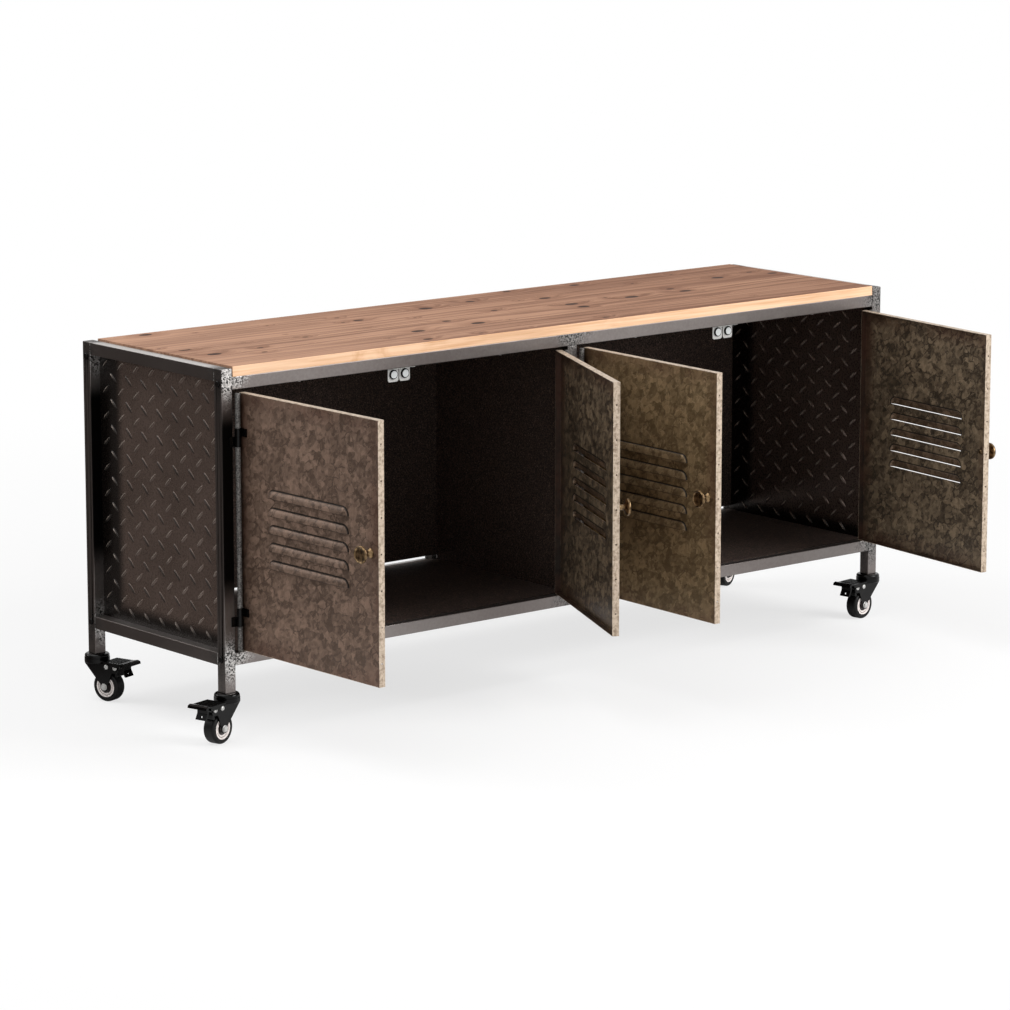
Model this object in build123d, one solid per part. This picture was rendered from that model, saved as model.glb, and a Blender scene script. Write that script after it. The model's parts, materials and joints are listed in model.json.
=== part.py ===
from build123d import *
import os

# Low cabinet on four casters: tube frame, wood top, four louvred tray doors.
# Millimetres. The origin is on the floor under the middle of the frame,
# +X runs to the right along the front, +Y to the back, +Z up.

# Frame sizes
width = 1400.0
depth = 372.0
caster_height = 76.0
post_height = 504.0
tube = 20.0
tube_wall = 1.5
bottom_rail_lift = 42.0
rail_end_plate = 2.5

# Wood top
top_thickness = 16.0
top_proud = 3.0
top_end_gap = 1.2
top_rear_inset = 12.0
plank_count = 4
plank_joint = 0.05
top_edge_round = 1.5

# Sheets
sheet = 1.2
side_plate = 1.5
sheet_gap = 0.2
panel_seat = 6.0
cable_slot = 7.5
slot_tab_width = 12.0
slot_tabs_per_bay = 3

# Doors
door_depth = 11.0
door_recess = 2.0
door_side_gap = 1.5
door_meeting_gap = 3.0
door_bottom_gap = 3.0
door_top_gap = 5.0
edge_hole_radius = 1.3
edge_hole_pitch = 55.0

# Louvres
louvre_count = 5
louvre_length = 192.0
louvre_height = 13.0
louvre_reach = 5.5
louvre_pitch = 27.2
louvre_lift = 139.5

# Hinges: a pin half on the post, a barrel half on the door
barrel_radius = 5.0
pin_radius = 2.5
hinge_inset = 6.2
hinge_standoff = 6.8
pin_half_height = 15.0
barrel_half_height = 12.5
hinge_seam = 0.4
hinge_from_top = 67.0
hinge_from_bottom = 54.0
wing = 1.8
wing_reach = 14.0
barrel_web = 2.5
pin_clearance = 0.05

# Knobs
knob_from_edge = 20.0
knob_base_radius = 8.0
knob_neck_radius = 4.5
knob_head_radius = 14.0
knob_height = 21.0
knob_base_height = 3.0
knob_head_thickness = 6.0
knob_flare = 1.0
knob_screw_radius = 2.0
knob_screw_depth = 10.0
screw_clearance = 0.1
screw_head_radius = 4.0
screw_head_height = 2.0

# Magnetic catches
catch_width = 21.0
catch_height = 24.0
catch_gap = 2.0
magnet_radius = 6.0
magnet_height = 3.0
magnet_air_gap = 0.3
catch_flange_back = 3.0
strike_width = 19.0
strike_height = 22.0
strike_clearance = 0.3
stop_plate_width = 16.0

# Fasteners
bolt_radius = 3.0
bolt_head_radius = 5.0
bolt_head_height = 2.2
bolt_clearance = 0.1
nut_across = 10.0
nut_height = 5.0
bolt_overrun = 3.0
top_screw_radius = 1.6
top_screw_bite = 10.0
top_screw_head_radius = 2.6
top_screw_shares = (0.2, 0.8)
rivet_radius = 1.6
rivet_head_radius = 3.2
rivet_head_height = 1.2
rivet_bite = 1.0
rivet_shares = (0.06, 0.5, 0.94)

# Casters, with u along the trail from the swivel axis
wheel_radius = 24.5
tyre_width = 21.0
tyre_round = 4.0
hub_radius = 17.5
hub_width = 22.0
hub_dish = 3.0
hub_rim = 3.5
hub_boss_margin = 1.5
trail = 23.0
axle_radius = 3.0
axle_head_radius = 5.0
axle_head_height = 2.3
running_clearance = 0.05
leg_thickness = 2.0
leg_clearance = 0.6
crown_radius = 20.5
crown_height = 8.0
crown_round = 1.5
dome_radius = 20.0
dome_height = 6.4
dome_round = 3.8
race_gap = 0.3
kingpin_radius = 5.0
kingpin_head_radius = 8.0
kingpin_head_height = 3.2
plug_length = 24.0
plug_clearance = 0.1
leg_rivet_u = 28.0
leg_rivet_head_radius = 4.0
leg_rivet_head_height = 1.9
leg_back_u = 14.8
leg_front_u = 12.3
leg_lap = 1.0
leg_ear_margin = 1.5
leg_foot_margin = 2.0
pedal_pivot_u = 45.0
pedal_pivot_drop = 18.0
pedal_pin_radius = 2.5
pedal_hub_radius = 4.5
pedal_width = 37.0
pedal_start_u = 25.0
pedal_reach_u = 73.0
pedal_plate = 2.5
pedal_lift = 6.5
lip_length = 14.0
lip_crest = 6.0
lip_rise = 1.5
lip_nose = 1.0
lip_drop = 4.0
pedal_skirt = 4.5
skirt_plate = 2.0
skirt_back = 8.0
skirt_front = 12.0
skirt_slope = 4.0
pedal_core_width = 19.0
pedal_tongue_u = 60.0
pedal_tongue_drop = 20.0
pedal_tongue_width = 20.0
tongue_plate = 3.0
tongue_kick = 5.0
tongue_hole_drop = 15.6
pedal_hole_radius = 2.0
shoe_radius = 2.5
shoe_drop = 13.5
shoe_back = 1.0
hanger_half = 2.0

# Angles: how far each door stands open, and which way each caster trails
left_end_open = 88.7
left_centre_open = 65.2
right_centre_open = 91.9
right_end_open = 83.6
front_left_trail = 195.0
rear_left_trail = -72.0
front_right_trail = 187.0
rear_right_trail = 200.0

# Levels and planes that follow from the sizes above
half_width = width / 2
half_depth = depth / 2
inner_x = half_width - tube
inner_y = half_depth - tube
frame_top = caster_height + post_height
top_level = frame_top + top_proud
rail_top = top_level - top_thickness
rail_bottom = rail_top - tube
low_rail_bottom = caster_height + bottom_rail_lift
low_rail_top = low_rail_bottom + tube
side_rail_bottom = frame_top - tube
floor_level = low_rail_top + sheet
post_x = half_width - tube / 2
post_y = half_depth - tube / 2
door_bottom = low_rail_top + door_bottom_gap
door_top = rail_bottom - door_top_gap
door_height = door_top - door_bottom
bay_width = inner_x - tube / 2
bay_centre = tube / 2 + bay_width / 2
door_width = bay_width / 2 - door_side_gap - door_meeting_gap / 2
door_face_y = -half_depth + door_recess
hinge_y = door_face_y - hinge_standoff
door_edge = door_side_gap - hinge_inset
knob_z = (door_bottom + door_top) / 2
catch_y = door_face_y + door_depth + magnet_air_gap + magnet_height

# name, hinge x, the way the closed door runs from its hinge, open angle
DOORS = (
    ("left_end_door", -inner_x + hinge_inset, 1, left_end_open),
    ("left_centre_door", -tube / 2 - hinge_inset, -1, left_centre_open),
    ("right_centre_door", tube / 2 + hinge_inset, 1, right_centre_open),
    ("right_end_door", inner_x - hinge_inset, -1, right_end_open),
)

# name, side of the frame, front or back, trail angle
CASTERS = (
    ("front_left_caster", -1, -1, front_left_trail),
    ("rear_left_caster", -1, 1, rear_left_trail),
    ("front_right_caster", 1, -1, front_right_trail),
    ("rear_right_caster", 1, 1, rear_right_trail),
)


def block(x0, x1, y0, y1, z0, z1):
    """A box between two corners."""
    size = Box(x1 - x0, y1 - y0, z1 - z0, align=(Align.MIN, Align.MIN, Align.MIN))
    return Pos(x0, y0, z0) * size


def rod_x(x0, x1, y, z, radius):
    """A round bar along X."""
    bar = Cylinder(radius, x1 - x0, align=(Align.CENTER, Align.CENTER, Align.MIN))
    return Pos(x0, y, z) * Rot(0, 90, 0) * bar


def rod_y(x, y0, y1, z, radius):
    """A round bar along Y."""
    bar = Cylinder(radius, y1 - y0, align=(Align.CENTER, Align.CENTER, Align.MIN))
    return Pos(x, y0, z) * Rot(-90, 0, 0) * bar


def rod_z(x, y, z0, z1, radius):
    """A round bar along Z."""
    bar = Cylinder(radius, z1 - z0, align=(Align.CENTER, Align.CENTER, Align.MIN))
    return Pos(x, y, z0) * bar


def fuse(first, *others):
    """Join solids into one."""
    joined = first
    for other in others:
        joined = joined + other
    return joined


def cut(body, tools):
    """Take every tool away from a body."""
    left = body
    for tool in tools:
        left = left - tool
    return left


def write(name, *solids):
    """Write one node as separate solids."""
    pieces = []
    for shape in solids:
        pieces.extend(shape.solids())
    node = pieces[0] if len(pieces) == 1 else Compound(children=pieces)
    export_step(node, os.path.join("parts", name + ".step"))


def rail_levels():
    """Heights of the middle of the long rails."""
    return (low_rail_bottom + tube / 2, rail_bottom + tube / 2)


def post(side, end):
    """One corner post: a square tube with a closed top and bolt holes."""
    x = side * post_x
    y = end * post_y
    half = tube / 2
    core = half - tube_wall
    body = block(x - half, x + half, y - half, y + half, caster_height, frame_top)
    hollow = block(x - core, x + core, y - core, y + core, caster_height, frame_top - tube_wall)
    holes = [rod_x(x - half, x + half, y, z, bolt_radius + bolt_clearance) for z in rail_levels()]
    return cut(body, [hollow] + holes)


def side_rails(side):
    """The two short rails welded between the posts of one side frame."""
    x0 = side * post_x - tube / 2
    x1 = side * post_x + tube / 2
    rails = []
    for z in (low_rail_bottom, side_rail_bottom):
        body = block(x0, x1, -inner_y, inner_y, z, z + tube)
        low = z + tube_wall
        high = z + tube - tube_wall
        hollow = block(x0 + tube_wall, x1 - tube_wall, -inner_y, inner_y, low, high)
        rails.append(body - hollow)
    return rails


def bay_places(*shares):
    """X places at the given shares of both bays, counted from the middle of the frame."""
    return [bay * (tube / 2 + bay_width * share) for bay in (-1, 1) for share in shares]


def top_screw_places():
    """X places of the screws that hold the wood down."""
    return bay_places(*top_screw_shares)


def top_screw_rows():
    """Y of the screw line in the front rail and in the rear rail."""
    return (-post_y, inner_y + top_screw_head_radius + sheet_gap)


def long_rail(end, z, screw_y=None):
    """A rail between the side frames, closed by end plates for its bolts."""
    y = end * post_y
    half = tube / 2
    core = half - tube_wall
    plate = inner_x - rail_end_plate
    body = block(-inner_x, inner_x, y - half, y + half, z, z + tube)
    hollow = block(-plate, plate, y - core, y + core, z + tube_wall, z + tube - tube_wall)
    holes = [rod_x(-inner_x, inner_x, y, z + half, bolt_radius + bolt_clearance)]
    if screw_y is not None:
        reach = top_screw_radius + screw_clearance
        holes += [rod_z(x, screw_y, z, z + tube, reach) for x in top_screw_places()]
    return cut(body, [hollow] + holes)


def centre_post(end):
    """An upright between the long rails at the middle of the frame."""
    y = end * post_y
    half = tube / 2
    core = half - tube_wall
    body = block(-half, half, y - half, y + half, low_rail_top, rail_bottom)
    return body - block(-core, core, y - core, y + core, low_rail_top, rail_bottom)


def side_panel(side):
    """The chequered plate welded in a side frame, level with the tubes' inner faces."""
    x0, x1 = sorted((side * inner_x, side * (inner_x + side_plate)))
    return block(x0, x1, -inner_y, inner_y, low_rail_top, side_rail_bottom)


def floor_panel():
    """The floor sheet, lying on the back of the front rail and the front of the rear rail."""
    reach = inner_y + panel_seat
    span = inner_x - sheet_gap
    body = block(-span, span, -reach, reach, low_rail_top, floor_level)
    notch = tube / 2 + sheet_gap
    edge = inner_y - sheet_gap
    return cut(body, [block(-notch, notch, edge, reach, low_rail_top, floor_level),
                      block(-notch, notch, -reach, -edge, low_rail_top, floor_level)])


def rivet_places():
    """X places of the rivets along the top of the back sheet."""
    return bay_places(*rivet_shares)


def back_panel():
    """The back sheet on the rear top rail, standing on tabs that leave a cable slot."""
    span = inner_x - sheet_gap
    front = inner_y - sheet
    rim = rail_top - tube_wall
    half_tab = slot_tab_width / 2
    foot = floor_level + cable_slot
    body = block(-span, span, front, inner_y, foot, rim)
    for index in range(slot_tabs_per_bay):
        for x in bay_places((index + 0.5) / slot_tabs_per_bay):
            body = body + block(x - half_tab, x + half_tab, front, inner_y, floor_level, foot)
    hole = rivet_radius + screw_clearance
    return cut(body, [rod_y(x, front, inner_y, rail_bottom + tube / 2, hole) for x in rivet_places()])


def centre_divider():
    """The sheet between the two bays, from the centre post to the back sheet."""
    back = inner_y - sheet - sheet_gap
    return block(-sheet / 2, sheet / 2, -inner_y, back, floor_level, rail_top - tube_wall)


def wood_planks():
    """The top, glued up from planks that run along the cabinet."""
    span = inner_x - top_end_gap
    front = -half_depth
    back = half_depth - top_rear_inset
    pitch = (back - front) / plank_count
    hole = top_screw_radius + screw_clearance / 2
    pilots = []
    for x in top_screw_places():
        for y in top_screw_rows():
            pilots.append(rod_z(x, y, rail_top, rail_top + top_screw_bite, hole))
    planks = []
    for index in range(plank_count):
        y0 = front + index * pitch
        y1 = y0 + pitch - (plank_joint if index < plank_count - 1 else 0)
        plank = block(-span, span, y0, y1, rail_top, top_level)
        if index == 0:
            edge = plank.edges().filter_by(Axis.X).sort_by(lambda e: e.center().Z - e.center().Y)[-1]
            plank = fillet(edge, top_edge_round)
        planks.append(cut(plank, pilots))
    return planks


def top_screws():
    """Screws from under the top rails into the wood."""
    screws = []
    for x in top_screw_places():
        for y in top_screw_rows():
            shank = rod_z(x, y, rail_bottom, rail_top + top_screw_bite, top_screw_radius)
            head = rod_z(x, y, rail_bottom - screw_head_height, rail_bottom, top_screw_head_radius)
            screws.append(shank + head)
    return screws


def panel_rivets():
    """Rivets of the back sheet in the wall of the rear top rail."""
    rivets = []
    for x in rivet_places():
        z = rail_bottom + tube / 2
        shank = rod_y(x, inner_y - sheet, inner_y + rivet_bite, z, rivet_radius)
        head = rod_y(x, inner_y - sheet - rivet_head_height, inner_y - sheet, z, rivet_head_radius)
        rivets.append(shank + head)
    return rivets


def drill_rivets(rail):
    """Holes for the back sheet's rivets in the front wall of the rear top rail."""
    z = rail_bottom + tube / 2
    hole = rivet_radius + screw_clearance
    return cut(rail, [rod_y(x, inner_y, inner_y + tube_wall, z, hole) for x in rivet_places()])


def frame_bolts():
    """Bolts through the posts into the long rails, with their nuts."""
    pieces = []
    for side in (-1, 1):
        for end in (-1, 1):
            for z in rail_levels():
                pieces.extend(frame_bolt(side, end * post_y, z))
    return pieces


def frame_bolt(side, y, z):
    """One bolt along X, its domed head on the outer face of a post."""
    outer = half_width
    seat = inner_x - rail_end_plate
    tip = seat - nut_height - bolt_overrun
    shank = rod_x(tip, outer, y, z, bolt_radius)
    head = rod_x(outer, outer + bolt_head_height, y, z, bolt_head_radius)
    rim = head.edges().sort_by(Axis.X)[-1]
    bolt = shank + fillet(rim, bolt_head_height / 2)
    ring = extrude(Plane.YZ * RegularPolygon(nut_across / 2, 6, major_radius=False), nut_height)
    nut = Pos(seat - nut_height, y, z) * ring - rod_x(tip, outer, y, z, bolt_radius + running_clearance)
    if side > 0:
        return [bolt, nut]
    return [mirror(bolt, about=Plane.YZ), mirror(nut, about=Plane.YZ)]


def hinge_seams():
    """Heights of the joint between the two halves of each hinge."""
    return (door_bottom + hinge_from_bottom, door_top - hinge_from_top)


def hinge_base(x, hand, seam):
    """The half on the post: a barrel with its pin and a wing on the post's front face."""
    low = seam - hinge_seam / 2 - pin_half_height
    high = seam - hinge_seam / 2
    tip = seam + hinge_seam / 2 + barrel_half_height
    barrel = rod_z(0, 0, low, high, barrel_radius)
    pin = rod_z(0, 0, low, tip, pin_radius)
    face = -half_depth - hinge_y
    plate = block(-hinge_inset - wing_reach / 2, barrel_web, face - wing, face, low, high)
    web = block(-barrel_web, barrel_web, 0, face, low, high)
    half = fuse(barrel, pin, plate, web)
    if hand < 0:
        half = mirror(half, about=Plane.YZ)
    return Pos(x, hinge_y, 0) * half


def hinge_bases():
    """All the halves that are welded to the posts."""
    halves = []
    for name, x, hand, angle in DOORS:
        for seam in hinge_seams():
            halves.append(hinge_base(x, hand, seam))
    return halves


def place_door(shape, door):
    """Put a piece of a left-hung closed door on its own hinge, opened as in use."""
    name, x, hand, angle = door
    if hand < 0:
        shape = mirror(shape, about=Plane.YZ)
    return Pos(x, hinge_y, 0) * Rot(0, 0, -hand * angle) * shape


def hood(length, height, reach, sunk):
    """A pressed louvre: a quarter-ellipse barrel with rounded ends, sunk into the sheet behind it."""
    section = Plane(origin=(0, 0, 0), x_dir=(0, -1, 0), z_dir=(-1, 0, 0))
    arc = EllipticalCenterArc((0, 0), reach, height, start_angle=0, arc_size=90)
    rest = Polyline((0, height), (-sunk, height), (-sunk, 0), (reach, 0))
    face = section * make_face([arc, rest])
    straight = length / 2 - height
    body = extrude(face, straight, both=True)
    right = revolve(face, Axis((0, 0, 0), (0, -1, 0)), revolution_arc=90)
    left = mirror(right, about=Plane.YZ)
    ends = [Pos(straight, 0, 0) * right, Pos(-straight, 0, 0) * left]
    if right.center().X < 0:
        ends = [Pos(straight, 0, 0) * left, Pos(-straight, 0, 0) * right]
    return fuse(body, *ends)


def louvre_places():
    """Where the slit of each louvre lies on a closed left-hung door."""
    x = door_edge + door_width / 2
    first = door_bottom + louvre_lift
    return [(x, hinge_standoff, first + index * louvre_pitch) for index in range(louvre_count)]


def door_panel():
    """A sheet folded into a tray that is open at the back, with louvres, knob hole and edge holes."""
    x0 = door_edge
    x1 = door_edge + door_width
    face = hinge_standoff
    back = hinge_standoff + door_depth
    body = block(x0, x1, face, back, door_bottom, door_top)
    body = body - block(x0 + sheet, x1 - sheet, face + sheet, back, door_bottom + sheet, door_top - sheet)
    outer = hood(louvre_length, louvre_height, louvre_reach, sheet / 2)
    inner = hood(louvre_length - 2 * sheet, louvre_height - sheet, louvre_reach - sheet, 2 * sheet)
    for place in louvre_places():
        body = body + Pos(*place) * outer
    for place in louvre_places():
        body = body - Pos(*place) * inner
    holes = [rod_y(x1 - knob_from_edge, face, face + sheet, knob_z, knob_screw_radius + screw_clearance)]
    count = int(door_height / edge_hole_pitch)
    first = (door_height - (count - 1) * edge_hole_pitch) / 2
    for index in range(count):
        z = door_bottom + first + index * edge_hole_pitch
        holes.append(rod_x(x1 - sheet, x1, face + door_depth / 2, z, edge_hole_radius))
    return cut(body, holes)


def door_hinges():
    """The two barrel halves welded to the door's face."""
    halves = []
    for seam in hinge_seams():
        low = seam + hinge_seam / 2
        high = low + barrel_half_height
        barrel = rod_z(0, 0, low, high, barrel_radius)
        plate = block(-barrel_web, wing_reach, hinge_standoff - wing, hinge_standoff, low, high)
        web = block(-barrel_web, barrel_web, 0, hinge_standoff, low, high)
        half = fuse(barrel, plate, web)
        halves.append(half - rod_z(0, 0, low, high, pin_radius + pin_clearance))
    return halves


def door_knob():
    """A turned mushroom knob and the screw that holds it from inside."""
    x = door_edge + door_width - knob_from_edge
    neck_top = knob_height - knob_head_thickness
    points = [
        (0, 0),
        (knob_base_radius, 0),
        (knob_base_radius, knob_base_height / 2),
        (knob_neck_radius + knob_flare, knob_base_height),
        (knob_neck_radius, neck_top / 2),
        (knob_neck_radius + knob_flare, neck_top),
        (knob_head_radius - knob_flare, neck_top + knob_head_thickness / 4),
        (knob_head_radius, neck_top + knob_head_thickness / 2),
        (knob_head_radius - 2 * knob_flare, knob_height - knob_head_thickness / 5),
        (knob_neck_radius, knob_height),
        (0, knob_height),
    ]
    profile = Plane.XZ * make_face(Polyline(*points, close=True))
    turned = revolve(profile, Axis.Z)
    knob = Pos(x, hinge_standoff, knob_z) * Rot(90, 0, 0) * turned
    tip = hinge_standoff - knob_screw_depth
    inside = hinge_standoff + sheet
    bore = rod_y(x, tip, hinge_standoff, knob_z, knob_screw_radius + screw_clearance)
    shank = rod_y(x, tip, inside, knob_z, knob_screw_radius)
    head = rod_y(x, inside, inside + screw_head_height, knob_z, screw_head_radius)
    return [knob - bore, shank + head]


def door_strike():
    """The steel plate in the door's top corner that the magnet pulls on."""
    x1 = door_edge + door_width - sheet - strike_clearance
    x0 = x1 - strike_width
    z1 = door_top - sheet - strike_clearance
    z0 = z1 - strike_height
    back = hinge_standoff + door_depth
    plate = block(x0, x1, back - sheet, back, z0, z1)
    leg = block(x0, x0 + sheet, hinge_standoff + sheet, back, z0, z1)
    return plate + leg


def catch_middles():
    """X of the middle of each catch plate."""
    offset = (catch_width + catch_gap) / 2
    return [bay * bay_centre + way * offset for bay in (-1, 1) for way in (-1, 1)]


def catch_brackets():
    """Angle plates under the front top rail, and the small plate over the centre post."""
    plates = []
    low = rail_bottom - catch_height
    for x in catch_middles():
        x0 = x - catch_width / 2
        x1 = x + catch_width / 2
        upright = block(x0, x1, catch_y, catch_y + sheet, low, rail_bottom)
        corners = upright.edges().filter_by(Axis.Y).sort_by(Axis.Z)[:2]
        upright = fillet(corners, catch_width / 5)
        front = -half_depth + catch_flange_back
        flange = block(x0, x1, front, catch_y + sheet, rail_bottom - sheet, rail_bottom)
        plates.append(upright + flange)
    for side in (-1, 1):
        x0, x1 = sorted((side * tube / 2, side * (tube / 2 + stop_plate_width)))
        plates.append(block(x0, x1, -post_y, -inner_y, rail_bottom - sheet, rail_bottom))
    return plates


def catch_magnets():
    """Round magnets on the front of the catch plates."""
    z = rail_bottom - catch_height / 2
    return [rod_y(x, catch_y - magnet_height, catch_y, z, magnet_radius) for x in catch_middles()]


def caster_levels():
    """Heights in a caster, from the dome's underside to the fork's crown underside."""
    dome_low = caster_height - dome_height
    crown_high = dome_low - race_gap
    crown_low = crown_high - crown_height
    return dome_low, crown_high, crown_low


def under_post(shape, caster):
    """Put a piece under the post of its caster, square with the frame."""
    name, side, end, angle = caster
    return Pos(side * post_x, end * post_y, 0) * shape


def place_caster(shape, caster):
    """Turn a piece of a caster to its trail and put it under its post."""
    name, side, end, angle = caster
    return under_post(Rot(0, 0, angle) * shape, caster)


def caster_stem():
    """The fixed top of a caster: plug in the tube, dome, and kingpin with its riveted head."""
    dome_low, crown_high, crown_low = caster_levels()
    side = tube - 2 * tube_wall - 2 * plug_clearance
    plug = block(-side / 2, side / 2, -side / 2, side / 2, caster_height, caster_height + plug_length)
    dome = rod_z(0, 0, dome_low, caster_height, dome_radius)
    dome = fillet(dome.edges().sort_by(Axis.Z)[-1], dome_round)
    head_high = crown_low - race_gap
    head_low = head_high - kingpin_head_height
    pin = rod_z(0, 0, head_low, dome_low, kingpin_radius)
    head = rod_z(0, 0, head_low, head_high, kingpin_head_radius)
    return fuse(plug, dome, pin, head)


def leg_span():
    """Inner and outer face of a fork leg, measured from the wheel's middle plane."""
    inner = hub_width / 2 + leg_clearance
    return inner, inner + leg_thickness


def pedal_pivot_height():
    """Height of the pedal's pivot."""
    return caster_height - pedal_pivot_drop


def caster_fork():
    """The swivelling part: a round crown with two legs that carry the axle and the pedal pivot."""
    dome_low, crown_high, crown_low = caster_levels()
    inner, outer = leg_span()
    pivot = pedal_pivot_height()
    ear = pedal_hub_radius + leg_ear_margin
    foot = axle_head_radius + leg_foot_margin
    crown = rod_z(0, 0, crown_low, crown_high, crown_radius)
    crown = fillet(crown.edges().sort_by(Axis.Z)[0], crown_round)
    outline = Polyline(
        (-leg_back_u, crown_high - 2 * leg_lap),
        (-leg_back_u, crown_low - leg_lap),
        (trail - foot, wheel_radius + foot / 2),
        (trail - foot, wheel_radius - foot / 2),
        (trail - foot / 2, wheel_radius - foot),
        (trail + foot / 2, wheel_radius - foot),
        (trail + foot, wheel_radius - foot / 2),
        (trail + foot, wheel_radius + foot / 2),
        (pedal_pivot_u - ear, pivot - 1.5 * ear),
        (pedal_pivot_u + ear / 2, pivot - 1.5 * ear),
        (pedal_pivot_u + ear, pivot - ear / 2),
        (pedal_pivot_u + ear / 2, pivot + ear / 2),
        (leg_front_u, crown_low + leg_lap),
        close=True,
    )
    profile = Plane.XZ * make_face(outline)
    leg = extrude(profile, leg_thickness)
    near = Pos(0, -inner, 0) * leg
    far = Pos(0, outer, 0) * leg
    body = fuse(crown, near, far)
    hole = running_clearance
    bores = [
        rod_z(0, 0, crown_low, crown_high, kingpin_radius + hole),
        rod_y(trail, -outer, outer, wheel_radius, axle_radius + hole),
        rod_y(pedal_pivot_u, -outer, outer, pivot, pedal_pin_radius + hole),
        rod_y(leg_rivet_u, -outer, outer, pivot, pedal_pin_radius + hole),
    ]
    return cut(body, bores)


def caster_axle():
    """The wheel bolt and the two rivets through the legs."""
    inner, outer = leg_span()
    pivot = pedal_pivot_height()
    pins = []
    for u, z, radius, head, height in (
        (trail, wheel_radius, axle_radius, axle_head_radius, axle_head_height),
        (pedal_pivot_u, pivot, pedal_pin_radius, leg_rivet_head_radius, leg_rivet_head_height),
        (leg_rivet_u, pivot, pedal_pin_radius, leg_rivet_head_radius, leg_rivet_head_height),
    ):
        shank = rod_y(u, -outer, outer, z, radius)
        near = rod_y(u, -outer - height, -outer, z, head)
        far = rod_y(u, outer, outer + height, z, head)
        near = fillet(near.edges().sort_by(Axis.Y)[0], height / 2)
        far = fillet(far.edges().sort_by(Axis.Y)[-1], height / 2)
        pins.append(fuse(shank, near, far))
    return pins


def caster_tyre():
    """The rolling ring."""
    ring = rod_y(trail, -tyre_width / 2, tyre_width / 2, wheel_radius, wheel_radius)
    ring = fillet(ring.edges(), tyre_round)
    return ring - rod_y(trail, -tyre_width / 2, tyre_width / 2, wheel_radius, hub_radius)


def caster_hub():
    """The wheel's centre, dished on both sides round its bore."""
    half = tyre_width / 2
    disc = rod_y(trail, -half, half, wheel_radius, hub_radius)
    boss = rod_y(trail, -hub_width / 2, hub_width / 2, wheel_radius, axle_head_radius + hub_boss_margin)
    dish = hub_radius - hub_rim
    for y0, y1 in ((-half, -half + hub_dish), (half - hub_dish, half)):
        disc = disc - rod_y(trail, y0, y1, wheel_radius, dish)
    bore = rod_y(trail, -hub_width / 2, hub_width / 2, wheel_radius, axle_radius + running_clearance)
    return disc + boss - bore


def strip(points, breadth):
    """A plate of the given breadth whose side view is a closed outline in u and height."""
    profile = Plane.XZ * make_face(Polyline(*points, close=True))
    return Pos(0, breadth / 2, 0) * extrude(profile, breadth)


def caster_pedal():
    """The brake pedal: tread plate with skirts and hooked lip, tongue, hub on the pivot and brake shoe."""
    pivot = pedal_pivot_height()
    low = pivot + pedal_lift
    high = low + pedal_plate
    lip = pedal_reach_u
    tread = strip([
        (pedal_start_u, low),
        (pedal_start_u, high),
        (lip - lip_length, high),
        (lip - lip_crest, high + lip_rise),
        (lip - lip_nose, high),
        (lip, high - lip_drop),
        (lip - pedal_plate, high - lip_drop),
        (lip - lip_length / 2, high - pedal_plate / 2),
        (lip - lip_length, low),
    ], pedal_width)
    skirt = strip([
        (pedal_pivot_u - skirt_back, low),
        (lip - skirt_front, low),
        (lip - skirt_front - skirt_slope, low - pedal_skirt),
        (pedal_pivot_u - skirt_back + skirt_slope, low - pedal_skirt),
    ], skirt_plate)
    offset = (pedal_width - skirt_plate) / 2
    skirts = [Pos(0, way * offset, 0) * skirt for way in (-1, 1)]
    half = pedal_core_width / 2
    core = block(pedal_pivot_u - pedal_hub_radius, pedal_pivot_u + pedal_hub_radius, -half, half, pivot, low)
    hub = rod_y(pedal_pivot_u, -half, half, pivot, pedal_hub_radius)
    front = pedal_tongue_u
    back = pedal_tongue_u - tongue_plate
    bend = low - pedal_tongue_drop / 2
    tongue_end = low - pedal_tongue_drop
    tongue = strip([
        (back, low),
        (front, low),
        (front, bend),
        (front + tongue_kick, tongue_end),
        (back + tongue_kick, tongue_end),
        (back, bend),
    ], pedal_tongue_width)
    shoe_z = pivot - shoe_drop
    shoe = rod_y(pedal_pivot_u - shoe_back, -half, half, shoe_z, shoe_radius)
    hanger = block(pedal_pivot_u - hanger_half, pedal_pivot_u + hanger_half, -half, half, shoe_z, pivot)
    body = fuse(tread, *skirts, core, hub, tongue, shoe, hanger)
    bores = [
        rod_y(pedal_pivot_u, -pedal_width, pedal_width, pivot, pedal_pin_radius + running_clearance),
        rod_x(front - tongue_kick, front + tongue_kick, 0, low - tongue_hole_drop, pedal_hole_radius),
    ]
    return cut(body, bores)


def write_frame():
    """Every piece that stands still."""
    for end_name, end in (("front", -1), ("rear", 1)):
        for side_name, side in (("left", -1), ("right", 1)):
            write(f"{end_name}_{side_name}_post", post(side, end))
    write("left_side_rails", *side_rails(-1))
    write("right_side_rails", *side_rails(1))
    front_row, rear_row = top_screw_rows()
    write("front_top_rail", long_rail(-1, rail_bottom, front_row))
    write("front_bottom_rail", long_rail(-1, low_rail_bottom))
    write("rear_top_rail", drill_rivets(long_rail(1, rail_bottom, rear_row)))
    write("rear_bottom_rail", long_rail(1, low_rail_bottom))
    write("centre_posts", centre_post(-1), centre_post(1))
    write("centre_divider", centre_divider())
    write("left_side_panel", side_panel(-1))
    write("right_side_panel", side_panel(1))
    write("floor_panel", floor_panel())
    write("back_panel", back_panel())
    write("wood_top", *wood_planks())
    write("hinge_bases", *hinge_bases())
    write("catch_brackets", *catch_brackets())
    write("catch_magnets", *catch_magnets())
    write("frame_bolts", *frame_bolts())
    write("top_screws", *top_screws())
    write("panel_rivets", *panel_rivets())
    write("caster_stems", *[under_post(caster_stem(), caster) for caster in CASTERS])


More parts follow.
